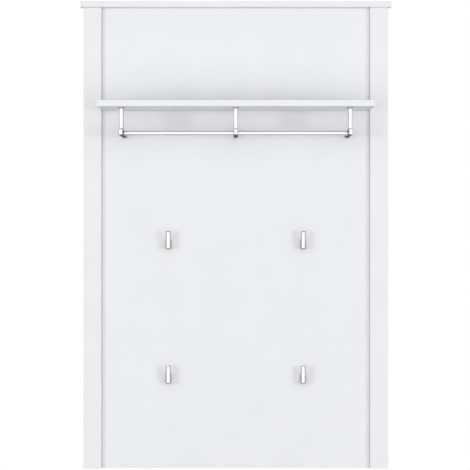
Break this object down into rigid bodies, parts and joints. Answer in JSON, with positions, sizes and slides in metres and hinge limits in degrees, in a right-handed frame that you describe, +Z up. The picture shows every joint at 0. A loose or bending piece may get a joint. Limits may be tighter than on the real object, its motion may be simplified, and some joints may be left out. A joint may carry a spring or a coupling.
{
  "type": "wall hook rack",
  "caption": "Wall-hung coat rack panel with stiles, a top board, a hat shelf, a bracketed clothes rail and coat hooks.",
  "frame": {"origin": "centre of the back panel's rear face, which lies against the wall", "axes": "+Z up along the panel's height, +Y into the wall, -Y out into the room, X across the panel"},
  "size_m": [0.96, 0.266, 1.443],
  "materials": {
    "white_board": "white melamine-faced chipboard, fine-grained satin",
    "white_edge": "white ABS edge band, satin",
    "bright_chrome": "bright chrome plate on a zinc casting",
    "chrome_tube": "bright chrome plate on drawn steel tube",
    "zinc_steel": "zinc-plated steel",
    "black_steel": "blackened steel",
    "cast_zinc": "raw zinc casting",
    "beech": "turned beech"
  },
  "bodies": {
    "root": {"back_panel": "white_board", "back_panel_edge_bands": "white_edge", "bracket_cap_left": "bright_chrome", "bracket_cap_middle": "bright_chrome", "bracket_cap_right": "bright_chrome", "bracket_rear_screws": "zinc_steel", "bracket_shelf_bolts": "zinc_steel", "cam_bolts": "zinc_steel", "cam_locks": "cast_zinc", "clothes_rail": "chrome_tube", "hanger_plate_left": "zinc_steel", "hanger_plate_right": "zinc_steel", "hanger_plate_screws": "zinc_steel", "hat_shelf": "white_board", "hat_shelf_edge_bands": "white_edge", "hook_lower_left": "bright_chrome", "hook_lower_right": "bright_chrome", "hook_screws": "zinc_steel", "hook_upper_left": "bright_chrome", "hook_upper_right": "bright_chrome", "left_stile": "white_board", "left_stile_edge_bands": "white_edge", "rail_bracket_left": "bright_chrome", "rail_bracket_middle": "bright_chrome", "rail_bracket_right": "bright_chrome", "rail_grub_screws": "black_steel", "right_stile": "white_board", "right_stile_edge_bands": "white_edge", "shelf_dowels": "beech", "shelf_screws": "zinc_steel", "stile_screws": "zinc_steel", "top_board": "white_board", "top_board_dowels": "beech", "top_board_edge_bands": "white_edge"}
  },
  "joints": []
}
